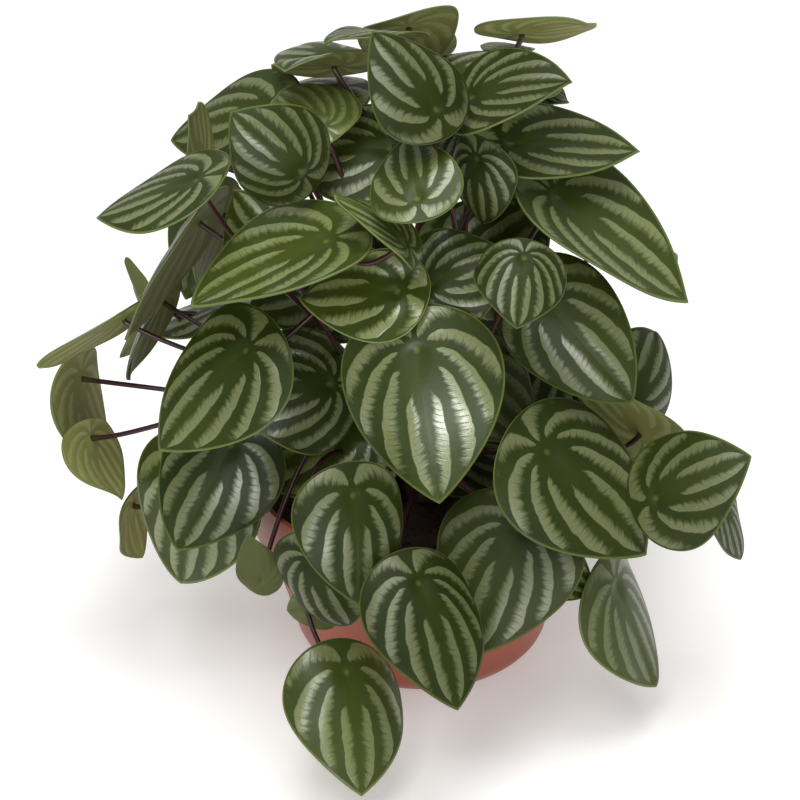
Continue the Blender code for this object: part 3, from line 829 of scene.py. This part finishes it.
    @staticmethod
    def mark(ring: list[bmesh.types.BMVert], place: object, share: float) -> None:
        """Write how far up the petiole a ring is, and each vertex's own streak."""
        for number, vert in enumerate(ring):
            vert[place] = (share, number * 2.0, 0.0)

    @staticmethod
    def swell(share: float) -> float:
        """Return the petiole's thickness along its way: thicker at the foot and where the blade joins."""
        return 1 + 0.35 * (1 - smooth(0.0, 0.12, share)) + 0.3 * smooth(0.93, 1.0, share)

    def make(self, leaf: Growth, name: str, seed: int) -> bpy.types.Object:
        """Make one leaf.

        Args:
            leaf: How it grows.
            name: The piece's name.
            seed: What its own random numbers start from.

        Returns:
            The leaf as one object.
        """
        blade = Blade(leaf)
        shape = self.flat_blade()
        self.blade(blade, shape, random.Random(seed))
        self.petiole(leaf, blade, shape)
        piece = add_piece(name, shape, self.skins)
        return piece


def add_object(name: str, shape: bmesh.types.BMesh, materials: list[bpy.types.Material]) -> bpy.types.Object:
    """Turn a bmesh into an object of the scene.

    Args:
        name: The object's name.
        shape: Its mesh, in the row frame, which is freed.
        materials: Its materials, in slot order.

    Returns:
        The new object.
    """
    mesh = bpy.data.meshes.new(name)
    shape.to_mesh(mesh)
    shape.free()
    for material in materials:
        mesh.materials.append(material)
    made = bpy.data.objects.new(name, mesh)
    bpy.context.scene.collection.objects.link(made)
    return made


def add_piece(name: str, shape: bmesh.types.BMesh, materials: list[bpy.types.Material]) -> bpy.types.Object:
    """Turn a bmesh into a piece that rides with the plant.

    Args:
        name: The piece's name.
        shape: Its mesh, in the row frame, which is freed.
        materials: Its materials, in slot order.

    Returns:
        The new object.
    """
    piece = add_object(name, shape, materials)
    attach(piece, BODY)
    return piece


def turn_profile(profile: list[Point], segments: int) -> bmesh.types.BMesh:
    """Spin a profile of radius and height about Z into a closed skin.

    Args:
        profile: The points, the first and last of them on the axis.
        segments: How many steps the full turn takes.

    Returns:
        The closed mesh, facing out.
    """
    shape = bmesh.new()
    points = [shape.verts.new((radius, 0, height)) for radius, height in profile]
    edges = [shape.edges.new(pair) for pair in zip(points, points[1:])]
    turn = {"cent": (0, 0, 0), "axis": UP, "angle": math.tau, "steps": segments, "use_merge": True}
    bmesh.ops.spin(shape, geom=points + edges, **turn)
    bmesh.ops.remove_doubles(shape, verts=shape.verts, dist=MERGE)
    bmesh.ops.recalc_face_normals(shape, faces=shape.faces)
    for face in shape.faces:
        face.smooth = True
    return shape


@dataclass
class Pot:
    """The pot: a moulded wall with a deep rim band and a rounded foot."""

    height: float
    rim_radius: float
    band: float = 22 * MM
    step: float = 4 * MM
    wall: float = 2 * MM
    floor: float = 2.5 * MM
    foot_radius: float = 53 * MM
    foot_rounding: float = 12 * MM
    lip: float = 0.9 * MM
    segments: int = 160

    @staticmethod
    def corner(middle: Point, radius: float, start: float, end: float) -> list[Point]:
        """Return the points of a rounded corner of the profile.

        Args:
            middle: The arc's middle, as radius and height.
            radius: The arc's radius.
            start: The angle of its first point, in degrees from straight outward.
            end: The angle of its last point.

        Returns:
            Seven points, as radius and height.
        """
        points = []
        for step in range(7):
            angle = math.radians(start + (end - start) * step / 6)
            points.append((middle[0] + radius * math.cos(angle), middle[1] + radius * math.sin(angle)))
        return points

    def profile(self) -> list[Point]:
        """Return the wall's profile: up the inside, over the rim and down the outside."""
        bottom = self.height - self.band
        rim, lip = self.rim_radius, self.lip
        body = rim - self.step
        flat, rounding = self.foot_radius - self.foot_rounding, self.foot_rounding
        inner = [
            (0, self.floor),
            (flat, self.floor),
            (self.foot_radius - self.wall, rounding),
            (body - self.wall, bottom + self.wall / 2),
            (rim - self.wall, bottom + self.wall * 1.5),
        ]
        over = self.corner((rim - self.wall + lip, self.height - lip), lip, 180, 90)
        over += self.corner((rim - lip, self.height - lip), lip, 90, 0)
        band = self.corner((rim - lip, bottom + lip), lip, 0, -90)
        neck = self.corner((body + 1.2 * MM, bottom - 1.2 * MM), 1.2 * MM, 90, 180)
        foot = self.corner((flat, rounding), rounding, 0, -90)
        return inner + over + band + neck + foot + [(0, 0)]

    def build(self, finish: Finish) -> bpy.types.Object:
        """Make the pot and let it stand for its CAD node.

        Args:
            finish: What it is moulded from.

        Returns:
            The pot.
        """
        shape = turn_profile(self.profile(), self.segments)
        pot = add_piece("moulded_pot", shape, [finish.material])
        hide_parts("pot")
        return pot


@dataclass
class PottingMix:
    """The potting mix: a crumbly surface over a plain body that the pot hides."""

    low: float
    top: float
    radius: float
    rings: int = 40
    segments: int = 120
    taper: float = 0.72
    edge_depth: float = 8 * MM
    clumps: float = 9 * MM
    roughness: float = 1.6 * MM
    crumbs: int = 420
    seed: int = 11

    def build(self, finish: Finish) -> bpy.types.Object:
        """Make the mix and let it stand for its CAD node.

        Args:
            finish: What it is made of.

        Returns:
            The mix.
        """
        profile = [(self.radius * step / self.rings, self.top) for step in range(self.rings + 1)]
        profile.append((self.radius, self.top - self.edge_depth))
        profile += [(self.radius * self.taper, self.low), (0, self.low)]
        shape = turn_profile(profile, self.segments)
        for vert in shape.verts:
            if vert.co.z < self.top - 1 * MM or vert.co.xy.length > self.radius - 0.5 * MM:
                continue
            spot = Vector((vert.co.x, vert.co.y, 0))
            vert.co.z += self.roughness * (noise.fractal(spot / self.clumps, 0.8, 2.0, 4) - 0.4)
        dice = random.Random(self.seed)
        for _ in range(self.crumbs):
            self.crumb(shape, dice)
        mix = add_piece("peat_surface", shape, [finish.material])
        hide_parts("potting_mix")
        return mix

    def crumb(self, shape: bmesh.types.BMesh, dice: random.Random) -> None:
        """Drop one crumb on the surface.

        Args:
            shape: The mix's mesh, which gains the crumb.
            dice: The mix's random numbers.
        """
        reach = (self.radius - 3 * MM) * math.sqrt(dice.uniform(0.06, 1))
        bearing = dice.uniform(0, math.tau)
        size = dice.uniform(0.5, 1.7) * MM
        made = bmesh.ops.create_icosphere(shape, subdivisions=1, radius=size)
        turn = Euler([dice.uniform(0, math.tau) for _ in range(3)]).to_matrix().to_4x4()
        stretch = Matrix.Diagonal((1, dice.uniform(0.5, 0.9), dice.uniform(0.4, 0.8), 1))
        place = (reach * math.cos(bearing), reach * math.sin(bearing), self.top + size * 0.1)
        bmesh.ops.transform(shape, matrix=Matrix.Translation(place) @ turn @ stretch, verts=made["verts"])


@dataclass
class Crown:
    """The crown: a knobbly dome of stem bases."""

    middle: Vector
    radius: float
    knobs: float = 0.9 * MM
    knob_size: float = 3.2 * MM
    steps: int = 24
    segments: int = 72

    def build(self, finish: Finish) -> bpy.types.Object:
        """Make the crown and let it stand for its CAD node.

        Args:
            finish: The skin of the stem bases.

        Returns:
            The crown.
        """
        profile = []
        for step in range(self.steps + 1):
            angle = math.radians(90) * step / self.steps
            profile.append((self.radius * math.sin(angle), self.middle.z + self.radius * math.cos(angle)))
        profile.append((0, self.middle.z))
        shape = turn_profile(profile, self.segments)
        for vert in shape.verts:
            if vert.co.z < self.middle.z + 0.2 * MM:
                continue
            out = (vert.co - self.middle).normalized()
            vert.co -= out * self.knobs * abs(noise.noise(vert.co / self.knob_size))
        crown = add_piece("crown_of_stems", shape, [finish.material])
        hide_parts("crown")
        return crown


@dataclass(frozen=True)
class Softbox:
    """A softbox that faces the plant: where it hangs and its sides in metres, and its power in watts."""

    name: str
    place: tuple[float, float, float]
    width: float
    height: float
    power: float
    only_gloss: bool = False

    def hang(self, target: Vector) -> None:
        """Hang the softbox.

        Args:
            target: What it faces.
        """
        light = bpy.data.lights.new(self.name, "AREA")
        light.shape = "RECTANGLE"
        light.size = self.width
        light.size_y = self.height
        light.energy = self.power
        lamp = bpy.data.objects.new(self.name, light)
        bpy.context.scene.collection.objects.link(lamp)
        lamp.location = self.place
        lamp.rotation_euler = (target - lamp.location).to_track_quat("-Z", "Y").to_euler()
        lamp.visible_diffuse = not self.only_gloss


@dataclass
class Studio:
    """The floor, the camera and the lights."""

    azimuth: float = 0.0
    elevation: float = 30.0
    distance: float = 950 * MM
    target: tuple[float, float, float] = (-9 * MM, 0.0, 110 * MM)
    lens: float = 106.7
    sensor: float = 36
    floor_side: float = 6
    room_light: float = 0.4
    lights: tuple[Softbox, ...] = (
        Softbox("key_softbox", (-0.3, -0.9, 1.45), 0.6, 0.6, 6.5),
        Softbox("front_softbox", (0.0, -1.44, 0.5), 0.9, 0.9, 5.0),
        Softbox("top_softbox", (0.0, -0.1, 1.6), 0.9, 0.9, 14.0),
        Softbox("front_window", (0.0, -1.44, 0.3), 0.85, 0.2, 10.5, only_gloss=True),
    )

    def build(self, floor: Finish) -> None:
        """Set up the studio.

        Args:
            floor: The floor's finish.
        """
        self.add_floor(floor)
        self.add_camera()
        self.add_world()
        for light in self.lights:
            light.hang(Vector(self.target))

    def add_floor(self, finish: Finish) -> None:
        """Lay the floor, which isn't part of the plant."""
        shape = bmesh.new()
        bmesh.ops.create_grid(shape, x_segments=1, y_segments=1, size=self.floor_side)
        floor = add_object("studio_floor", shape, [finish.material])

    def add_camera(self) -> None:
        """Aim the camera at the plant."""
        lens = bpy.data.cameras.new("camera")
        lens.lens = self.lens
        lens.sensor_width = self.sensor
        camera = bpy.data.objects.new("camera", lens)
        bpy.context.scene.collection.objects.link(camera)
        rise = math.radians(self.elevation)
        turn = math.radians(self.azimuth)
        back = Vector((-math.sin(turn) * math.cos(rise), -math.cos(turn) * math.cos(rise), math.sin(rise)))
        camera.location = Vector(self.target) + back * self.distance
        camera.rotation_euler = (-back).to_track_quat("-Z", "Y").to_euler()
        bpy.context.scene.camera = camera

    def add_world(self) -> None:
        """Give the room its even light."""
        world = bpy.data.worlds.new("studio")
        world.use_nodes = True
        world.node_tree.nodes["Background"].inputs["Color"].default_value = linear("ffffff")
        world.node_tree.nodes["Background"].inputs["Strength"].default_value = self.room_light
        bpy.context.scene.world = world
        bpy.context.scene.view_settings.view_transform = "Standard"


def main() -> None:
    """Build the pot, the mix, the crown, the leaves and the studio."""
    logging.basicConfig(level=logging.INFO, format="%(name)s: %(message)s")
    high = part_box("pot")[1]
    pot = Pot(height=high.z, rim_radius=high.x)
    log.info("made %s", pot.build(MouldedPot()).name)
    low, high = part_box("potting_mix")
    mix = PottingMix(low=low.z, top=high.z, radius=high.x)
    log.info("made %s", mix.build(Peat()).name)
    low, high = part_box("crown")
    middle = Vector((0, 0, low.z))
    crown = Crown(middle=middle, radius=high.x)
    log.info("made %s", crown.build(CrownBark()).name)
    skins = [finish().material for finish in (UpperFace, UnderFace, LeafRim, PetioleSkin)]
    maker = LeafMaker(crown=middle, crown_radius=high.x, skins=skins)
    for number, leaf in enumerate(LEAVES):
        piece = maker.make(leaf, f"{leaf.name}_grown", number)
        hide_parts(leaf.name)
        log.info("grew %s", piece.name)
    for number, leaf in enumerate(INNER_LEAVES, len(LEAVES)):
        log.info("grew %s", maker.make(leaf, leaf.name, number).name)
    Studio().build(StudioFloor())


if __name__ == "__main__":
    main()
